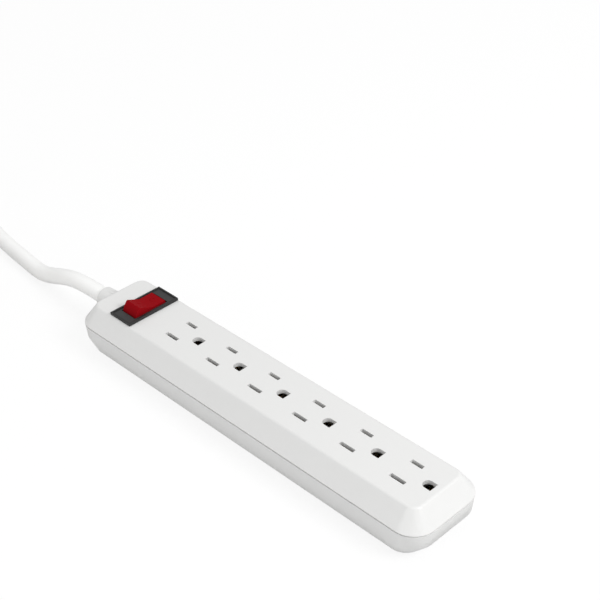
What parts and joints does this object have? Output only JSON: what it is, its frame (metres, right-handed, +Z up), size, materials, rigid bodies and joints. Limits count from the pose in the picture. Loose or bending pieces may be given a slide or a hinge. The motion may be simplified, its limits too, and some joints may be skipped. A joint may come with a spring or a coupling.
{
  "type": "power strip",
  "caption": "Slim white power strip with a row of grounded outlets, a rocker switch in a bezel, and a mains cord with a moulded plug.",
  "frame": {"origin": "under the middle of the housing, on the surface it rests on", "axes": "+X from the cord end to the far end, +Y across, +Z up"},
  "size_m": [0.453, 0.0984, 0.0315],
  "materials": {
    "housing_white": "satin",
    "bezel_black": "satin",
    "rocker_red": "gloss",
    "contact_brass": "satin",
    "screw_steel": "zinc plated",
    "spring_steel": "bright",
    "nylon_cream": "matte",
    "lamp_glass": "clear",
    "resistor_tan": "matte",
    "lead_black": "satin",
    "lead_white": "satin",
    "lead_green": "satin",
    "jacket_white": "satin",
    "tie_black": "matte"
  },
  "bodies": {
    "housing": {"top_cover": "housing_white", "base_shell": "housing_white", "housing_screws": "screw_steel", "neutral_bus": "contact_brass", "line_bus": "contact_brass", "ground_bus": "contact_brass", "contact_tray": "nylon_cream", "switch_frame": "bezel_black", "supply_terminal": "contact_brass", "load_terminal": "contact_brass", "lamp_terminal": "contact_brass", "cord_clamp": "nylon_cream", "clamp_screws": "screw_steel", "cord_entry": "jacket_white", "supply_lead": "lead_black", "load_lead": "lead_black", "neutral_lead": "lead_white", "ground_lead": "lead_green", "lamp_lead": "lead_white", "power_cord": "jacket_white", "cord_coil": "jacket_white", "cord_tail": "jacket_white", "cord_tie": "tie_black", "plug_body": "jacket_white", "plug_line_blade": "contact_brass", "plug_neutral_blade": "contact_brass", "plug_ground_pin": "contact_brass"},
    "rocker": {"rocker": "rocker_red", "rocker_spring": "spring_steel", "rocker_plunger": "nylon_cream", "neon_lamp": "lamp_glass", "lamp_resistor": "resistor_tan"},
    "contact_arm": {"contact_arm": "contact_brass"}
  },
  "joints": [
    {"name": "rocker_tilt", "type": "hinge", "parent": "housing", "child": "rocker", "pos_m": [-0.0857, 0, 0.0241], "axis": [1, 0, 0], "range_deg": [0, 24]},
    {"name": "contact_arm_tilt", "type": "hinge", "parent": "housing", "child": "contact_arm", "pos_m": [-0.0857, 0, 0.013], "axis": [1, 0, 0], "range_deg": [-16, 0]}
  ],
  "couplings": [
    {"joint": "contact_arm_tilt", "follows": "rocker_tilt", "ratio": -0.66667}
  ]
}
